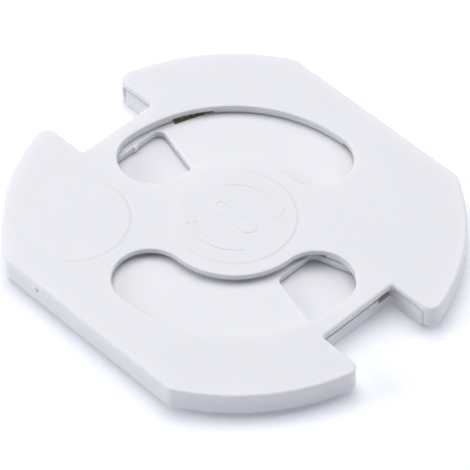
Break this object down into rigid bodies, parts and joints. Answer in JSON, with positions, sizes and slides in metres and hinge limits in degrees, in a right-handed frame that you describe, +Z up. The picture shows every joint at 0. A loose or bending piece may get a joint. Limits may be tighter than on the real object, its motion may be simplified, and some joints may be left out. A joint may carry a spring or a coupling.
{
  "type": "outlet safety cover",
  "caption": "Thin white twist-to-open safety cover for a round recessed earthed socket: curved pin windows, a sprung turning shutter and notches for the earth clips.",
  "frame": {"origin": "centre of the disc, on the underside of the adhesive pads", "axes": "+Z up, away from the socket; X runs from flat to flat along the line of the socket's two pin holes; Y runs from earth-clip notch to earth-clip notch"},
  "size_m": [0.033, 0.0366, 0.0027],
  "materials": {
    "white_plastic": "fine satin moulded plastic, white",
    "spring_wire": "drawn wire, dull brass colour",
    "adhesive_foam": "soft closed-cell foam tape, matt off-white"
  },
  "bodies": {
    "root": {"cover": "white_plastic", "base": "white_plastic", "return_spring_right": "spring_wire", "return_spring_left": "spring_wire", "adhesive_pad_rear": "adhesive_foam", "adhesive_pad_front": "adhesive_foam"},
    "shutter": {"shutter": "white_plastic"}
  },
  "joints": [
    {"name": "shutter_turn", "type": "hinge", "parent": "root", "child": "shutter", "pos_m": [0, 0, 0.0013], "axis": [0, 0, 1], "range_deg": [-90, 0], "stiffness_Nm_per_rad": 0.004, "springref_deg": 20.05, "deforming": ["return_spring_right", "return_spring_left"]}
  ]
}
